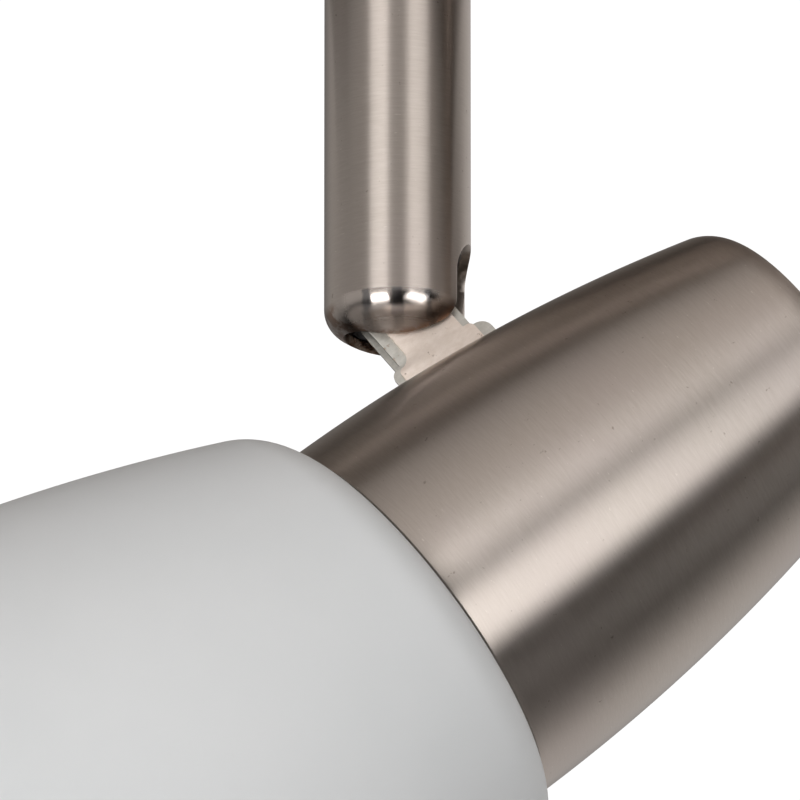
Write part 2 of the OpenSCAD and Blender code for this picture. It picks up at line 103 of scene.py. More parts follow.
# Shade and lamp
GLASS_LEN = 61.0
GLASS_WALL = 3.0
GLASS_BACK_R = 20.5
SHOULDER_R = 8.7
FLARE = 23.1
GLASS_CURVE_R = 223.0
GLASS_HOLE_R = 14.6
LAMP_R = 22.5
LAMP_WALL = 1.0
LAMP_FWD = 36.0
LAMP_NECK_END = 62
LAMP_NECK_TOP = -5.6
LAMP_NECK_FOOT = -8.0

# Steps round each turned piece
STEM_STEPS = 192
CUP_STEPS = 288
SHADE_STEPS = 256
LAMP_STEPS = 160

SMOOTH_ANGLE = 35

# The CAD's own nodes
CAD_SMOOTH_ANGLE = 30
CAD_EDGE_W = 0.15
CAD_EDGE_ANGLE = 40


# ---------------------------------------------------------------- outlines


def arc(centre, radius, start, end, steps):
    """Points of an arc in the plane, angles in degrees."""
    turn = [math.radians(start + (end - start) * k / steps) for k in range(steps + 1)]
    return [(centre[0] + radius * math.cos(a), centre[1] + radius * math.sin(a)) for a in turn]


def circle(centre, radius, points):
    """Evenly spaced points of a whole circle, none of them twice."""
    step = 360 / points
    return arc(centre, radius, 0, 360 - step, points - 1)


def rounded(corners, steps):
    """A closed outline from (x, y, corner radius), with each corner rounded by its radius."""
    points = []
    for k, (x, y, radius) in enumerate(corners):
        here = Vector((x, y))
        if radius <= 0:
            points.append((x, y))
            continue
        back = (Vector(corners[k - 1][:2]) - here).normalized()
        ahead = (Vector(corners[(k + 1) % len(corners)][:2]) - here).normalized()
        half = math.acos(max(-1, min(1, back.dot(ahead)))) / 2
        reach = radius / math.tan(half)
        centre = here + (back + ahead).normalized() * radius / math.sin(half)
        first = here + back * reach - centre
        last = here + ahead * reach - centre
        sweep = first.angle_signed(last)
        for n in range(steps + 1):
            turned = first.copy()
            turned.rotate(Matrix.Rotation(-sweep * n / steps, 2))
            points.append(tuple(centre + turned))
    return points


def dome_outline(inwards):
    """The stem's rounded end from its middle out to the tube's side, moved inwards."""
    steps = 10
    flat_r = STEM_R - DOME_CORNER_R
    crown_r = (DOME_H**2 - DOME_CORNER_R**2 + flat_r**2) / (2 * (DOME_H - DOME_CORNER_R))
    meet = math.degrees(math.asin(flat_r / (crown_r - DOME_CORNER_R)))
    cap = arc((0, crown_r - DOME_H), crown_r - inwards, -90, -90 + meet, 2 * steps)
    corner = arc((flat_r, 0), DOME_CORNER_R - inwards, -90 + meet, 0, steps)
    return cap + corner[1:]


def housing_outline(inwards):
    """The housing's outline (radius, distance behind the rim) from the rim to the back's middle."""
    side_c = RIM_R - SIDE_CURVE_R
    turn = math.radians(SIDE_TURN)
    long_r = SIDE_CURVE_R - BACK_CORNER_R
    corner_c = (side_c + long_r * math.cos(turn), long_r * math.sin(turn))
    meet = math.radians(BACK_CORNER_END)
    crown_r = (corner_c[0] + BACK_CORNER_R * math.cos(meet)) / math.cos(meet)
    crown_s = corner_c[1] + BACK_CORNER_R * math.sin(meet) - crown_r * math.sin(meet)
    side = arc((side_c, 0), SIDE_CURVE_R - inwards, 0, SIDE_TURN, 60)
    corner = arc(corner_c, BACK_CORNER_R - inwards, SIDE_TURN, BACK_CORNER_END, 20)
    back = arc((0, crown_s), crown_r - inwards, BACK_CORNER_END, 90, 16)
    return side + corner[1:] + back[1:]


def glass_outline(inwards):
    """The shade's outline (radius, distance behind the rim) from its flat back to its front edge.

    The middle of its side's curve and the angle at which that curve ends come with it.
    """
    flare = math.radians(FLARE)
    shoulder_c = (GLASS_BACK_R, -SHOULDER_R)
    back_by = SHOULDER_R - GLASS_CURVE_R
    curve_c = (
        shoulder_c[0] + back_by * math.cos(flare),
        shoulder_c[1] + back_by * math.sin(flare),
    )
    end = math.degrees(math.asin((-GLASS_LEN - curve_c[1]) / GLASS_CURVE_R))
    shoulder = arc(shoulder_c, SHOULDER_R - inwards, 90, FLARE, 18)
    side = arc(curve_c, GLASS_CURVE_R - inwards, FLARE, end, 40)
    return shoulder + side[1:], curve_c, end


# ---------------------------------------------------------------- meshes


def new_piece(name, verts, faces, matrix):
    """A smooth-shaded mesh object from millimetre points, placed by matrix."""
    mesh = bpy.data.meshes.new(name)
    mesh.from_pydata([tuple(c * MM for c in v) for v in verts], [], faces)
    return finish_mesh(name, mesh, matrix)


def finish_mesh(name, mesh, matrix):
    """Makes normals face outwards, sets smooth shading up to SMOOTH_ANGLE and links an object."""
    work = bmesh.new()
    work.from_mesh(mesh)
    bmesh.ops.remove_doubles(work, verts=work.verts, dist=1e-7)
    bmesh.ops.recalc_face_normals(work, faces=work.faces)
    work.to_mesh(mesh)
    work.free()
    mesh.shade_smooth()
    mesh.set_sharp_from_angle(angle=math.radians(SMOOTH_ANGLE))
    piece = bpy.data.objects.new(name, mesh)
    bpy.context.scene.collection.objects.link(piece)
    piece.matrix_world = matrix
    return piece


def revolve(name, outline, matrix, segments):
    """A closed (radius, height) outline turned about Z. Points on the axis become one vertex."""
    verts, rings = [], []
    for radius, height in outline:
        if radius < 1e-6:
            rings.append([len(verts)])
            verts.append((0, 0, height))
            continue
        rings.append(list(range(len(verts), len(verts) + segments)))
        for k in range(segments):
            a = 2 * math.pi * k / segments
            verts.append((radius * math.cos(a), radius * math.sin(a), height))
    faces = []
    for n, ring in enumerate(rings):
        other = rings[(n + 1) % len(rings)]
        if len(ring) == 1 and len(other) == 1:
            continue
        for k in range(segments):
            j = (k + 1) % segments
            if len(ring) == 1:
                faces.append((ring[0], other[k], other[j]))
            elif len(other) == 1:
                faces.append((ring[k], other[0], ring[j]))
            else:
                faces.append((ring[k], other[k], other[j], ring[j]))
    return new_piece(name, verts, faces, matrix)


def prism(name, outline, low, high, axis, matrix):
    """An outline (x, y) extruded from low to high along an axis, with the outline in the other two."""
    place = {
        "X": lambda a, b, c: (c, a, b),
        "Y": lambda a, b, c: (a, c, b),
        "Z": lambda a, b, c: (a, b, c),
    }[axis]
    count = len(outline)
    verts = [place(x, y, low) for x, y in outline] + [place(x, y, high) for x, y in outline]
    faces = [tuple(range(count)), tuple(range(2 * count - 1, count - 1, -1))]
    for k in range(count):
        j = (k + 1) % count
        faces.append((k, k + count, j + count, j))
    return new_piece(name, verts, faces, matrix)


def cut(piece, *cutters):
    """Takes the cutters out of the piece and removes them."""
    for cutter in cutters:
        change = piece.modifiers.new("cut", "BOOLEAN")
        change.operation = "DIFFERENCE"
        change.solver = "EXACT"
        change.object = cutter
    bpy.context.view_layer.update()
    made = bpy.data.meshes.new_from_object(piece.evaluated_get(bpy.context.evaluated_depsgraph_get()))
    piece.modifiers.clear()
    old = piece.data
    piece.data = made
    bpy.data.meshes.remove(old)
    for cutter in cutters:
        bpy.data.objects.remove(cutter)


def soften(piece, width, angle, segments):
    """Rounds the piece's edges sharper than the angle, by a small width in millimetres."""
    work = bmesh.new()
    work.from_mesh(piece.data)
    bmesh.ops.remove_doubles(work, verts=work.verts, dist=2e-6)
    sharp = [e for e in work.edges if len(e.link_faces) == 2 and e.calc_face_angle(0) > math.radians(angle)]
    bmesh.ops.bevel(
        work, geom=sharp, offset=width * MM, offset_type="OFFSET", segments=segments,
        profile=0.5, affect="EDGES", clamp_overlap=True,
    )
    work.to_mesh(piece.data)
    work.free()
    piece.data.shade_smooth()
    piece.data.set_sharp_from_angle(angle=math.radians(SMOOTH_ANGLE))


def join(name, *parts):
    """Several pieces as one object, keeping the first one's frame."""
    first = parts[0]
    work = bmesh.new()
    for part in parts:
        mesh = part.data.copy()
        mesh.transform(first.matrix_world.inverted() @ part.matrix_world)
        work.from_mesh(mesh)
        bpy.data.meshes.remove(mesh)
    work.to_mesh(first.data)
    work.free()
    for part in parts[1:]:
        bpy.data.objects.remove(part)
    first.name = name
    return first


# ---------------------------------------------------------------- frames of the moving groups

joints = {joint["name"]: joint for joint in frame["joints"]}


def half_turn(i):
    """The second head faces the other way."""
    return Matrix.Rotation(0 if i == 1 else math.pi, 4, "Z")


def stem_matrix(i):
    """The stem's axis is Z, and its rounded end starts at Z = 0."""
    pivot = Vector(joints[f"head_tilt_{i}"]["pos_m"])
    return Matrix.Translation(pivot - Vector((0, 0, PIVOT_UP * MM))) @ half_turn(i)


def arm_matrix(i):
    """The pivot is the origin, the bracket's arm runs down along -Z and the head's back is at +X."""
    pivot = Vector(joints[f"head_tilt_{i}"]["pos_m"])
    return Matrix.Translation(pivot) @ half_turn(i) @ Matrix.Rotation(-math.radians(REST_TILT), 4, "Y")


def head_matrix(i):
    """The head's axis is Z, the rim is at Z = 0, the back is at +Z and the arm's side is at -X."""
    to_rim = Matrix.Translation(Vector((-FOOT_BACK * MM, 0, -AXIS_DROP * MM)))
    yaw = Matrix.Rotation(math.radians(HEAD_YAW), 4, "Z")
    return arm_matrix(i) @ yaw @ to_rim @ Matrix.Rotation(math.radians(90), 4, "Y")


# ---------------------------------------------------------------- materials

NICKEL_DARK = (0.55, 0.485, 0.435)
NICKEL_LIGHT = (0.63, 0.565, 0.515)
NICKEL_PATCH = (0.61, 0.53, 0.50)
NICKEL_ROUGH = 0.36
NICKEL_ANISOTROPY = 0.95
QUARTER_TURN = 0.25

# Brushing marks to the millimetre, along the brushing and across it
GRAIN_MARKS = (0.45, 5.2)
DASH_MARKS = (1.3, 4.2)

SCRATCH_COLOR = (0.86, 0.80, 0.74)
PIT_COLOR = (0.26, 0.20, 0.16)
# Colour of the painted dark reflections on the stem's polished corner
PAINTED_REFLECTION_COLOR = (0.17, 0.17, 0.18)
# Colour of the painted dark brown reflection low on the dome at +X
DARK_CRESCENT_REFLECTION_COLOR = (0.08, 0.055, 0.04)
WORN_COLOR = (0.26, 0.16, 0.11)
SPOT_COLOR = (0.42, 0.32, 0.25)

# Each painted dark reflection on the polished corner: its middle along X and its half width
PAINTED_REFLECTION_PATCHES = ((-2.7, 0.45), (0.75, 0.55), (4.1, 0.3))


class Nodes:
    """A small helper that builds one material's nodes."""

    def __init__(self, name):
        self.material = bpy.data.materials.new(name)
        self.material.use_nodes = True
        self.tree = self.material.node_tree
        self.tree.nodes.clear()
        self.out = self.add("ShaderNodeOutputMaterial")
        self.shader = self.add("ShaderNodeBsdfPrincipled")
        self.link(self.shader.outputs[0], self.out.inputs["Surface"])

    def add(self, kind, **settings):
        node = self.tree.nodes.new(kind)
        for key, value in settings.items():
            setattr(node, key, value)
        return node

    def link(self, source, target):
        self.tree.links.new(source, target)

    def set(self, **values):
        """Values of the shader's own sockets."""
        for key, value in values.items():
            self.shader.inputs[key.replace("_", " ")].default_value = value

    def position(self, scale):
        """The piece's own coordinates, times a scale for each axis."""
        coords = self.add("ShaderNodeTexCoord")
        mapping = self.add("ShaderNodeMapping")
        mapping.inputs["Scale"].default_value = scale
        self.link(coords.outputs["Object"], mapping.inputs["Vector"])
        return mapping.outputs["Vector"]

    def noise(self, vector, detail, rough):
        """Noise at the coordinates' own scale."""
        node = self.add("ShaderNodeTexNoise")
        node.inputs["Scale"].default_value = 1.0
        node.inputs["Detail"].default_value = detail
        node.inputs["Roughness"].default_value = rough
        self.link(vector, node.inputs["Vector"])
        return node.outputs["Fac"]

    def even_noise(self, per_metre, detail, rough):
        """Noise that is the same size along every axis."""
        return self.noise(self.position((per_metre,) * 3), detail, rough)

    def math(self, operation, a, b=None):
        """Arithmetic on one or two numbers or outputs."""
        node = self.add("ShaderNodeMath", operation=operation)
        for socket, value in zip(node.inputs, (a, b)):
            if value is None:
                continue
            if isinstance(value, (int, float)):
                socket.default_value = value
            else:
                self.link(value, socket)
        return node.outputs[0]

    def between(self, source, low, high, to_low=0.0, to_high=1.0):
        """The source's range low to high, stretched to another range."""
        node = self.add("ShaderNodeMapRange")
        limits = {"From Min": low, "From Max": high, "To Min": to_low, "To Max": to_high}
        for key, value in limits.items():
            node.inputs[key].default_value = value
        self.link(source, node.inputs["Value"])
        return node.outputs["Result"]

    def mix(self, factor, a, b):
        """Colour a where the factor is 0 and colour b where it is 1."""
        node = self.add("ShaderNodeMix", data_type="RGBA")
        self.link(factor, node.inputs["Factor"])
        for socket, value in ((node.inputs[6], a), (node.inputs[7], b)):
            if isinstance(value, tuple):
                socket.default_value = (*value, 1)
            else:
                self.link(value, socket)
        return node.outputs[2]

    def bump(self, height, strength, distance):
        """Fine relief on the shader's normal, its depth in millimetres."""
        node = self.add("ShaderNodeBump")
        node.inputs["Strength"].default_value = strength
        node.inputs["Distance"].default_value = distance * MM
        self.link(height, node.inputs["Height"])
        self.link(node.outputs["Normal"], self.shader.inputs["Normal"])

    def tangent(self, axis):
        """The direction round the piece's axis, for brushed metal."""
        node = self.add("ShaderNodeTangent", direction_type="RADIAL", axis=axis)
        self.link(node.outputs[0], self.shader.inputs["Tangent"])


def own_axes(m):
    """The piece's own x, y and z, in millimetres."""
    split = m.add("ShaderNodeSeparateXYZ")
    m.link(m.position((1 / MM, 1 / MM, 1 / MM)), split.inputs[0])
    return split.outputs


def turned_position(m, around, across):
    """Coordinates that change slowly round the Z axis, and fast along it and across its ends."""
    x, y, z = own_axes(m)
    radius = m.math("SQRT", m.math("ADD", m.math("MULTIPLY", x, x), m.math("MULTIPLY", y, y)))
    along = m.math("ADD", z, m.math("MULTIPLY", radius, 0.6))
    joined = m.add("ShaderNodeCombineXYZ")
    m.link(m.math("MULTIPLY", x, around), joined.inputs[0])
    m.link(m.math("MULTIPLY", y, around), joined.inputs[1])
    m.link(m.math("MULTIPLY", along, across), joined.inputs[2])
    return joined.outputs[0]


def brushed_position(m, brushed, marks):
    """Coordinates stretched along the brushing: round the Z axis, along the X axis or across it."""
    along, across = marks
    if brushed == "round":
        return turned_position(m, along, across)
    if brushed == "along":
        return m.position((along / MM, across / MM, across / MM))
    return m.position((across / MM, along / MM, across / MM))


def satin_nickel(name, brushed="round", dome=False):
    """Brushed nickel plate with short bright scratches, dark pits and paler patches."""
    m = Nodes(name)
    if brushed == "along":
        m.tangent("X")
    else:
        m.tangent("Z")
        m.set(Anisotropic_Rotation=QUARTER_TURN)
    grain = m.noise(brushed_position(m, brushed, GRAIN_MARKS), 4.0, 0.7)
    dashes = m.noise(brushed_position(m, brushed, DASH_MARKS), 1.0, 0.5)
    specks = m.even_noise(1300.0, 2.0, 0.6)
    patches = m.even_noise(70.0, 2.0, 0.5)
    color = m.mix(m.between(grain, 0.3, 0.7), NICKEL_DARK, NICKEL_LIGHT)
    color = m.mix(m.between(patches, 0.45, 0.7, 0.0, 0.35), color, NICKEL_PATCH)
    scratch = m.between(dashes, 0.74, 0.82)
    color = m.mix(m.math("MULTIPLY", scratch, 0.5), color, SCRATCH_COLOR)
    pit = m.between(specks, 0.71, 0.78)
    color = m.mix(m.math("MULTIPLY", pit, 0.6), color, PIT_COLOR)
    brushing = m.between(grain, 0.3, 0.7, NICKEL_ROUGH - 0.03, NICKEL_ROUGH + 0.03)
    roughness = m.math("ADD", brushing, m.between(patches, 0.3, 0.7, -0.01, 0.01))
    if dome:
        color, roughness = polished_dome(m, color, roughness)
    m.link(color, m.shader.inputs["Base Color"])
    m.link(roughness, m.shader.inputs["Roughness"])
    m.set(Metallic=1.0, Anisotropic=NICKEL_ANISOTROPY)
    height = m.math("ADD", grain, m.math("SUBTRACT", m.math("MULTIPLY", scratch, 0.5), pit))
    m.bump(height, 0.25, 0.004)
    return m.material


def polished_dome(m, color, roughness):
    """Bright polish on the stem's rounded corner, painted dark reflections on it, a painted dark brown reflection
    at +X, worn slot edges.
    """
    x, y, z = own_axes(m)
    # Noise that roughens the edges of the painted dark reflections and spots the worn slot edges
    reflection_and_wear_noise = m.even_noise(620.0, 3.0, 0.6)
    # The polish fades towards the tube, the dome's middle and its two ends along X
    corner = m.math("MULTIPLY", m.between(z, 0.15, -0.1), m.between(z, -3.9, -1.9))
    corner = m.math("MULTIPLY", corner, m.between(m.math("ABSOLUTE", x), 5.8, 4.6))
    roughness = m.math("SUBTRACT", roughness, m.math("MULTIPLY", corner, 0.18))
    # Painted dark reflections in patches on the polished corner, between and beside its highlights
    for middle, half in PAINTED_REFLECTION_PATCHES:
        off = m.math("ABSOLUTE", m.math("SUBTRACT", x, middle))
        off = m.math("ADD", off, m.between(reflection_and_wear_noise, 0.3, 0.7, -0.25, 0.25))
        painted_reflection_patch = m.math("MULTIPLY", corner, m.between(off, half + 0.15, half - 0.15))
        color = m.mix(m.math("MULTIPLY", painted_reflection_patch, 0.7), color, PAINTED_REFLECTION_COLOR)
    # Painted dark brown reflection towards +X, low on the dome and clear of its sides
    dark_crescent_reflection = m.math("MULTIPLY", m.between(m.math("ABSOLUTE", y), 7.3, 5.4), m.between(x, 0.0, 4.5))
    dark_crescent_reflection = m.math("MULTIPLY", dark_crescent_reflection, m.between(z, -0.3, -1.5))
    color = m.mix(m.math("MULTIPLY", dark_crescent_reflection, 0.9), color, DARK_CRESCENT_REFLECTION_COLOR)
    # Worn through in spots beside the slot
    edge = m.math("MULTIPLY", m.between(m.math("ABSOLUTE", y), 5.0, 4.2), m.between(z, -0.2, -1.2))
    worn = m.math("MULTIPLY", edge, m.between(reflection_and_wear_noise, 0.38, 0.52))
    color = m.mix(m.math("MULTIPLY", worn, 0.85), color, WORN_COLOR)
    return color, roughness


def bright_nickel(name):
    """Bright nickel plate on sheet steel. The outer leaves are warmer than the inner ones."""
    m = Nodes(name)
    y = own_axes(m)[1]
    scratches = m.noise(m.position((900.0, 900.0, 1800.0)), 4.0, 0.7)
    spots = m.even_noise(1100.0, 3.0, 0.6)
    outer = m.mix(m.between(scratches, 0.35, 0.7), (0.84, 0.72, 0.63), (0.93, 0.82, 0.74))
    inner = m.mix(m.between(scratches, 0.35, 0.7), (0.56, 0.54, 0.49), (0.70, 0.67, 0.62))
    seam = CHEEK_OUT - LEAF_WALL
    color = m.mix(m.between(m.math("ABSOLUTE", y), seam, seam + 0.04), inner, outer)
    color = m.mix(m.between(spots, 0.67, 0.74), color, SPOT_COLOR)
    m.link(color, m.shader.inputs["Base Color"])
    m.link(m.between(scratches, 0.3, 0.75, 0.38, 0.48), m.shader.inputs["Roughness"])
    m.set(Metallic=1.0)
    m.bump(scratches, 0.2, 0.01)
    return m.material


def plated_steel(name, low, high, rough=0.36):
    """Plated or plain metal of the small fittings."""
    m = Nodes(name)
    cloud = m.even_noise(260.0, 5.0, 0.65)
    grain = m.noise(m.position((700.0, 700.0, 4000.0)), 3.0, 0.6)
    m.link(m.mix(m.between(cloud, 0.35, 0.65), low, high), m.shader.inputs["Base Color"])
    m.link(m.between(grain, 0.3, 0.7, rough - 0.08, rough + 0.1), m.shader.inputs["Roughness"])
    m.set(Metallic=1.0)
    m.bump(grain, 0.3, 0.006)
    return m.material


def moulded_plastic(name, low, high, rough):
    """Moulded plastic with a fine skin texture."""
    m = Nodes(name)
    skin = m.even_noise(2600.0, 3.0, 0.6)
    cloud = m.even_noise(120.0, 3.0, 0.6)
    m.link(m.mix(m.between(cloud, 0.3, 0.7), low, high), m.shader.inputs["Base Color"])
    m.link(m.between(skin, 0.3, 0.7, rough - 0.06, rough + 0.08), m.shader.inputs["Roughness"])
    m.bump(skin, 0.2, 0.01)
    return m.material


def opal_glass(name):
    """Etched opal glass: matt, slightly translucent, with faint clouding."""
    m = Nodes(name)
    cloud = m.even_noise(38.0, 3.0, 0.5)
    etch = m.even_noise(5200.0, 3.0, 0.7)
    color = m.mix(m.between(cloud, 0.3, 0.7), (0.80, 0.82, 0.83), (0.84, 0.855, 0.865))
    m.link(color, m.shader.inputs["Base Color"])
    m.link(m.between(etch, 0.3, 0.7, 0.52, 0.66), m.shader.inputs["Roughness"])
    m.set(Subsurface_Weight=0.55, Subsurface_Scale=0.006, IOR=1.45)
    m.shader.inputs["Subsurface Radius"].default_value = (1.0, 1.0, 1.0)
    m.bump(etch, 0.12, 0.004)
    return m.material


NICKEL = satin_nickel("satin_nickel")
NICKEL_STEM = satin_nickel("satin_nickel_stem", dome=True)
NICKEL_SHEET = satin_nickel("satin_nickel_sheet", brushed="along")
NICKEL_CAP = satin_nickel("satin_nickel_cap", brushed="across")
BRIGHT = bright_nickel("bright_nickel")
ZINC = plated_steel("zinc_steel", (0.46, 0.46, 0.47), (0.62, 0.62, 0.63))
BRASS = plated_steel("brass", (0.66, 0.48, 0.20), (0.80, 0.62, 0.30), 0.3)
BLACK = moulded_plastic("black_plastic", (0.018, 0.018, 0.019), (0.032, 0.031, 0.030), 0.45)
WHITE = moulded_plastic("white_plastic", (0.72, 0.72, 0.70), (0.80, 0.80, 0.78), 0.38)
SLEEVE = moulded_plastic("wire_sleeve", (0.60, 0.59, 0.56), (0.70, 0.69, 0.66), 0.6)
OPAL = opal_glass("opal_glass")
LAMP_OPAL = opal_glass("lamp_glass")

SLOT_LOOKS = {
    "satin_nickel": NICKEL_SHEET,
    "bright_nickel": BRIGHT,
    "zinc_steel": ZINC,
    "brass": BRASS,
    "black_plastic": BLACK,
    "white_plastic": WHITE,
    "wire_sleeve": SLEEVE,
    "opal_glass": OPAL,
    "lamp_glass": LAMP_OPAL,
}


def dress(piece, material):
    """Gives a piece its material."""
    piece.data.materials.clear()
    piece.data.materials.append(material)


# ---------------------------------------------------------------- carried-over CAD nodes

slot_of = {entry["node"]: entry["material_slot"] for entry in frame["record"]["subparts"]}
for node_name, node in frame["nodes"].items():
    look = NICKEL_CAP if node_name.startswith("end_cap") else SLOT_LOOKS[slot_of[node_name]]
    if not node.data.materials:
        node.data.materials.append(look)
    for number in range(len(node.data.materials)):
        node.data.materials[number] = look
    if node_name.startswith(("rail_lead", "stem_lead", "head_lead")):
        for face in node.data.polygons:
            face.use_smooth = True
        continue
    node.data.shade_smooth()
    node.data.set_sharp_from_angle(angle=math.radians(CAD_SMOOTH_ANGLE))
    edge = node.modifiers.new("edges", "BEVEL")
    edge.width = CAD_EDGE_W * MM
    edge.segments = 2
    edge.limit_method = "ANGLE"
    edge.angle_limit = math.radians(CAD_EDGE_ANGLE)


# ---------------------------------------------------------------- head pieces


def build_stem(i):
    """The stem tube with its rounded end, the slot up its side and the slot's round end."""
    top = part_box(f"stem_tube_{i}")[1][2] / MM - stem_matrix(i).translation.z / MM
    bore_r = STEM_R - STEM_WALL
    rows, bore_rows = 90, 60
    side = [(STEM_R, (top - TOP_CHAMFER) * k / rows) for k in range(1, rows + 1)]
    bore = [(bore_r, (top - 0.1) * k / bore_rows) for k in range(bore_rows, 0, -1)]
    outline = dome_outline(0) + side + [(STEM_R - TOP_CHAMFER, top), (bore_r, top)]
    outline += bore + dome_outline(STEM_WALL)[::-1]
    tube = revolve(f"stem_{i}", outline, stem_matrix(i), STEM_STEPS)
    half = SLOT_W / 2
    mouth = half - SLOT_LEFT
    shape = [(-half, BELOW_DOME), (half, BELOW_DOME)] + arc((0, SLOT_TOP - half), half, 0, 180, 48)
    slot = prism("slot_cutter", shape, mouth, 2 * STEM_R, "X", stem_matrix(i))
    disc = circle((mouth, 0), half, 120)
    end = prism("end_cutter", disc, BELOW_DOME, SLOT_TOP - half, "Z", stem_matrix(i))
    cut(tube, slot, end)
    soften(tube, width=0.16, angle=42, segments=2)
    dress(tube, NICKEL_STEM)
    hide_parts(f"stem_tube_{i}")
    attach(tube, f"stem_body_{i}")


def leaf(name, low, high, i, neck, ears, drop, slope, fillets, rounds):
    """One leaf of a cheek: round top, neck, shoulders along the housing's side and the pin's hole."""
    def shoulder(x, radius):
        return (x, -drop - x * math.tan(math.radians(slope)), radius)

    corners = [
        (neck[1], -1, 0), shoulder(neck[1], fillets[1]), shoulder(ears[1], rounds[1]),
        (ears[1], ARM_FOOT, 0), (-ears[0], ARM_FOOT, 0), shoulder(-ears[0], rounds[0]),
        shoulder(-neck[0], fillets[0]), (-neck[0], -1, 0),
    ]
    top_r = (neck[0] + neck[1]) / 2
    outline = arc((neck[1] - top_r, 0), top_r, 180, 0, 48) + rounded(corners, 8)
    plate = prism(name, outline, low, high, "Y", arm_matrix(i))
    disc = circle((0, 0), PIN_HOLE_R, 36)
    hole = prism("hole_cutter", disc, low - 1, high + 1, "Y", arm_matrix(i))
    cut(plate, hole)
    return plate


def build_bracket(i):
    """Two cheeks of two leaves each, a hair apart, and the web that joins them in the housing."""
    mid = CHEEK_OUT - LEAF_WALL
    deep = mid - LEAF_WALL
    leaves = [
        leaf("outer_near", -CHEEK_OUT, -mid, i, **OUTER_LEAF),
        leaf("inner_near", -mid + LEAF_SEAM, -deep, i, **INNER_LEAF),
        leaf("inner_far", deep, mid - LEAF_SEAM, i, **INNER_LEAF),
        leaf("outer_far", mid, CHEEK_OUT, i, **OUTER_LEAF),
    ]
    end = OUTER_LEAF["ears"][1]
    web_shape = [(WEB_BACK, -deep), (end, -deep), (end, deep), (WEB_BACK, deep)]
    web = prism("web", web_shape, ARM_FOOT, ARM_FOOT + PLATE_WALL, "Z", arm_matrix(i))
    x, y = LEAD_HOLE
    hole_shape = [(-x, -y), (x, -y), (x, y), (-x, y)]
    hole = prism("hole_cutter", hole_shape, ARM_FOOT - 1, ARM_FOOT + 3, "Z", arm_matrix(i))
    cut(web, hole)
    piece = join(f"bracket_plate_{i}", *leaves, web)
    soften(piece, width=0.1, angle=50, segments=3)
    dress(piece, BRIGHT)
    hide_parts(f"bracket_{i}")
    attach(piece, f"head_body_{i}")


def build_housing(i):
    """The cup shell with the cut-out that the bracket stands in."""
    outer = housing_outline(0)
    inner = housing_outline(HOUSING_WALL)
    shell = revolve(f"cup_{i}", outer + inner[::-1], head_matrix(i), CUP_STEPS)
    left = -INNER_LEAF["ears"][0] - CUT_OUT_GAP
    right = INNER_LEAF["ears"][1] + CUT_OUT_GAP
    deep = CHEEK_OUT + CUT_OUT_GAP
    corners = [(left, -deep), (right, -deep), (right, deep), (left, deep)]
    shape = rounded([(x, y, CUT_OUT_CORNER_R) for x, y in corners], 8)
    opening = prism("opening_cutter", shape, -AXIS_DROP + WEB_TOP - 1, 0, "Z", arm_matrix(i))
    cut(shell, opening)
    soften(shell, width=0.14, angle=42, segments=3)
    dress(shell, NICKEL)
    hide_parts(f"housing_{i}")
    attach(shell, f"head_body_{i}")


def build_shade(i):
    """The glass shade with its round front rim and the hole in its flat back."""
    outer, curve_c, end = glass_outline(0)
    inner = glass_outline(GLASS_WALL)[0]
    turn = math.radians(end)
    mid = GLASS_CURVE_R - GLASS_WALL / 2
    rim_c = (curve_c[0] + mid * math.cos(turn), curve_c[1] + mid * math.sin(turn))
    rim = arc(rim_c, GLASS_WALL / 2, end - 12, end - 168, 12)
    flat = [
        (GLASS_HOLE_R + 0.5, 0), (GLASS_HOLE_R, -0.5),
        (GLASS_HOLE_R, -GLASS_WALL + 0.5), (GLASS_HOLE_R + 0.5, -GLASS_WALL),
    ]
    outline = outer + rim + inner[::-1] + flat[::-1]
    shade = revolve(f"shade_{i}", outline, head_matrix(i), SHADE_STEPS)
    dress(shade, OPAL)
    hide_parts(f"glass_shade_{i}")
    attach(shade, f"head_body_{i}")


def build_lamp(i):
    """The lamp's globe and its short neck, as a thin shell."""
    outer = arc((0, -LAMP_FWD), LAMP_R, LAMP_NECK_END, -90, 60)
    inner = arc((0, -LAMP_FWD), LAMP_R - LAMP_WALL, -90, LAMP_NECK_END, 60)
    neck = [(5.9, LAMP_NECK_TOP), (7.0, LAMP_NECK_TOP), (7.2, LAMP_NECK_FOOT)]
    outline = neck + outer + inner + [(6.1, LAMP_NECK_FOOT)]
    lamp = revolve(f"lamp_{i}", outline, head_matrix(i), LAMP_STEPS)
    dress(lamp, LAMP_OPAL)
    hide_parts(f"lamp_bulb_{i}")
    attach(lamp, f"head_body_{i}")


for head in HEADS:
    build_stem(head)
    build_bracket(head)
    build_housing(head)
    build_shade(head)
    build_lamp(head)


# ---------------------------------------------------------------- floor, light and camera

# Stage distances, in metres
FLOOR_DROP = 2.4
FLOOR_R = 1.6
VIEW_DISTANCE = 2.5
LIGHT_DISTANCE = 2.6

# Watts to the square metre of a soft light, for a glow of 1
GLOW_WATTS = 4

# The floor's own glow, which only the camera sees
FLOOR_GLOW = 0.6
FLOOR_AROUND = 256
FLOOR_RINGS = 12

# The camera's direction, the width it sees, and the view's middle from the dome's start
VIEW_AZIMUTH = 6.0
VIEW_ELEVATION = -18.6
VIEW_WIDTH = 87.07
VIEW_RIGHT = 0.27
VIEW_DOWN = 9.74
SENSOR_WIDTH = 36.0

# How bright the room is in each direction
ROOM = {
    "left": 0.45, "right": 0.50, "back_left": 0.18,
    "back_right": 0.45, "far_behind": 0.15,
    "top_left": 0.12, "top_right": 0.34, "top_back": 0.05,
}
ROOM_TINT = (1.0, 0.98, 0.96)
TOP_TINT = (1.0, 0.87, 0.77)
BACKDROP_GLOW = 1.05

AIM = Vector(joints["head_tilt_1"]["pos_m"])


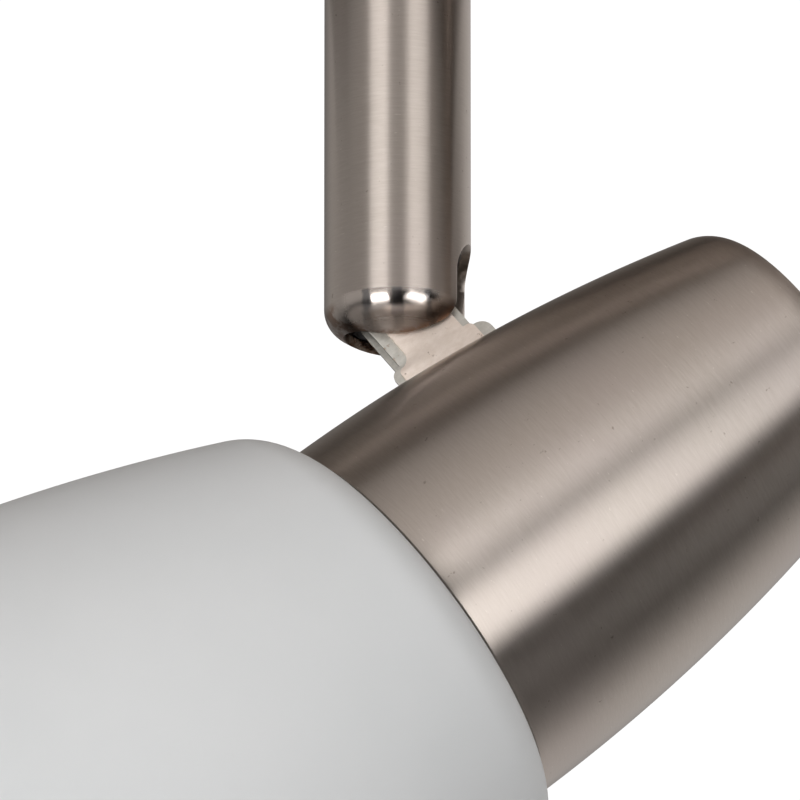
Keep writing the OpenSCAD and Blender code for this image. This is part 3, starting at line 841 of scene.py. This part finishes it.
def direction(azimuth, elevation):
    """The unit vector from the object towards that azimuth and elevation, in degrees."""
    a, e = math.radians(azimuth), math.radians(elevation)
    return Vector((math.sin(a) * math.cos(e), -math.cos(a) * math.cos(e), math.sin(e)))


def build_floor():
    """A round pale floor, well below the object."""
    around = FLOOR_AROUND
    rings = [FLOOR_R * k / FLOOR_RINGS for k in range(1, FLOOR_RINGS + 1)]
    verts = [(0, 0, -FLOOR_DROP)]
    for radius in rings:
        for k in range(around):
            a = 2 * math.pi * k / around
            verts.append((radius * math.cos(a), radius * math.sin(a), -FLOOR_DROP))
    faces = [(0, 1 + k, 1 + (k + 1) % around) for k in range(around)]
    for n in range(len(rings) - 1):
        for k in range(around):
            j = (k + 1) % around
            inner, outer = 1 + n * around, 1 + (n + 1) * around
            faces.append((inner + k, outer + k, outer + j, inner + j))
    mesh = bpy.data.meshes.new("floor")
    mesh.from_pydata(verts, [], faces)
    floor = bpy.data.objects.new("floor", mesh)
    bpy.context.scene.collection.objects.link(floor)
    m = Nodes("floor")
    speck = m.even_noise(6.0, 4.0, 0.6)
    tone = m.mix(m.between(speck, 0.3, 0.7), (0.80, 0.80, 0.80), (0.84, 0.84, 0.84))
    m.link(tone, m.shader.inputs["Base Color"])
    m.set(Roughness=0.8)
    seen = m.add("ShaderNodeLightPath")
    glow = m.math("MULTIPLY", seen.outputs["Is Camera Ray"], FLOOR_GLOW)
    m.link(glow, m.shader.inputs["Emission Strength"])
    m.link(tone, m.shader.inputs["Emission Color"])
    mesh.materials.append(m.material)


def soft_light(name, azimuth, elevation, half_width, half_height, glow, roll=0):
    """A soft box that looks at the first head. Its size is given as seen from there, in degrees."""
    width = 2 * LIGHT_DISTANCE * math.tan(math.radians(half_width))
    height = 2 * LIGHT_DISTANCE * math.tan(math.radians(half_height))
    data = bpy.data.lights.new(name, "AREA")
    data.shape = "RECTANGLE"
    data.size = width
    data.size_y = height
    data.energy = GLOW_WATTS * glow * width * height
    lamp = bpy.data.objects.new(name, data)
    bpy.context.scene.collection.objects.link(lamp)
    toward = direction(azimuth, elevation)
    lamp.location = AIM + toward * LIGHT_DISTANCE
    turn = toward.to_track_quat("Z", "Y").to_matrix() @ Matrix.Rotation(math.radians(roll), 3, "Z")
    lamp.rotation_euler = turn.to_euler()


class Room:
    """A small helper that builds the world's nodes from numbers and other nodes' outputs."""

    def __init__(self, tree):
        self.tree = tree

    def value(self, kind, *inputs, **settings):
        """The output of a new node of that kind."""
        node = self.tree.nodes.new(kind)
        for key, setting in settings.items():
            setattr(node, key, setting)
        for socket, given in zip(node.inputs, inputs):
            if isinstance(given, (int, float)):
                socket.default_value = given
            else:
                self.tree.links.new(given, socket)
        return node.outputs[0]

    def ramp(self, source, low, high):
        """Rises softly from 0 to 1 as the source goes from low to high."""
        smooth = {"interpolation_type": "SMOOTHSTEP"}
        return self.value("ShaderNodeMapRange", source, low, high, 0.0, 1.0, **smooth)

    def times(self, a, b):
        """Two numbers or outputs multiplied."""
        return self.value("ShaderNodeMath", a, b, operation="MULTIPLY")

    def plus(self, a, b):
        """Two numbers or outputs added."""
        return self.value("ShaderNodeMath", a, b, operation="ADD")

    def rest_of(self, a):
        """What a leaves of 1."""
        return self.value("ShaderNodeMath", 1.0, a, operation="SUBTRACT")

    def blend(self, share, a, b):
        """The share of a, and the rest of b."""
        return self.plus(self.times(share, a), self.times(self.rest_of(share), b))


def room_glow(room, x, y, z):
    """How bright the room is in the direction x, y, z, and how far that direction looks up."""
    right = room.ramp(x, -0.3, 0.25)
    behind = room.ramp(y, 0.1, 0.8)
    far_behind = room.ramp(y, 0.4, 0.95)
    above = room.ramp(z, 0.3, 0.8)
    below = room.rest_of(room.ramp(z, -0.5, -0.15))
    level = room.rest_of(room.plus(above, below))
    beside = room.times(room.ramp(z, 0.05, 0.35), ROOM["right"])
    left = room.blend(far_behind, ROOM["back_left"], ROOM["left"])
    walls = room.blend(right, room.blend(behind, ROOM["back_right"], beside), left)
    top_front = room.blend(right, ROOM["top_right"], ROOM["top_left"])
    top = room.blend(room.ramp(y, -0.35, -0.05), ROOM["top_back"], top_front)
    bottom = room.times(right, room.times(behind, ROOM["back_right"]))
    ends = room.plus(room.times(above, top), room.times(below, bottom))
    glow = room.plus(room.times(level, walls), ends)
    glow = room.plus(glow, room.times(right, room.times(far_behind, ROOM["far_behind"])))
    return glow, above


def build_world():
    """Pure white behind the object for the camera, and a dim soft room for light and reflections."""
    world = bpy.data.worlds.new("studio")
    bpy.context.scene.world = world
    world.use_nodes = True
    tree = world.node_tree
    tree.nodes.clear()
    coords = tree.nodes.new("ShaderNodeTexCoord")
    split = tree.nodes.new("ShaderNodeSeparateXYZ")
    tree.links.new(coords.outputs["Generated"], split.inputs[0])
    glow, above = room_glow(Room(tree), *split.outputs)

    # The camera sees the backdrop. Every other ray meets the room.
    tint = tree.nodes.new("ShaderNodeMix")
    tint.data_type = "RGBA"
    tint.inputs[6].default_value = (*ROOM_TINT, 1)
    tint.inputs[7].default_value = (*TOP_TINT, 1)
    tree.links.new(above, tint.inputs[0])
    lit = tree.nodes.new("ShaderNodeBackground")
    tree.links.new(tint.outputs[2], lit.inputs["Color"])
    tree.links.new(glow, lit.inputs["Strength"])
    backdrop = tree.nodes.new("ShaderNodeBackground")
    backdrop.inputs["Color"].default_value = (1, 1, 1, 1)
    backdrop.inputs["Strength"].default_value = BACKDROP_GLOW
    ray = tree.nodes.new("ShaderNodeLightPath")
    choose = tree.nodes.new("ShaderNodeMixShader")
    tree.links.new(ray.outputs["Is Camera Ray"], choose.inputs[0])
    tree.links.new(lit.outputs[0], choose.inputs[1])
    tree.links.new(backdrop.outputs[0], choose.inputs[2])
    out = tree.nodes.new("ShaderNodeOutputWorld")
    tree.links.new(choose.outputs[0], out.inputs["Surface"])


def build_camera():
    """The camera looks up at the first head from a little to its right, from far away."""
    toward = direction(VIEW_AZIMUTH, VIEW_ELEVATION)
    turn = math.radians(VIEW_AZIMUTH)
    right = Vector((math.cos(turn), math.sin(turn), 0))
    up = toward.cross(right)
    data = bpy.data.cameras.new("camera")
    data.sensor_width = SENSOR_WIDTH
    data.lens = SENSOR_WIDTH * VIEW_DISTANCE / (VIEW_WIDTH * MM)
    data.clip_start, data.clip_end = 0.05, 60.0
    camera = bpy.data.objects.new("camera", data)
    bpy.context.scene.collection.objects.link(camera)
    centre = stem_matrix(1).translation + right * VIEW_RIGHT * MM - up * VIEW_DOWN * MM
    camera.location = centre + toward * VIEW_DISTANCE
    camera.rotation_euler = toward.to_track_quat("Z", "Y").to_euler()
    bpy.context.scene.camera = camera


bpy.context.scene.view_settings.view_transform = "Standard"
build_floor()
build_world()
soft_light("box_right", azimuth=37, elevation=-16, half_width=16.7, half_height=13.5, glow=2.9, roll=-19.6)
soft_light("box_left", azimuth=-23, elevation=-19, half_width=13.6, half_height=12, glow=4.9, roll=2.8)
soft_light("box_above", azimuth=19, elevation=46, half_width=35, half_height=33, glow=0.24)
build_camera()
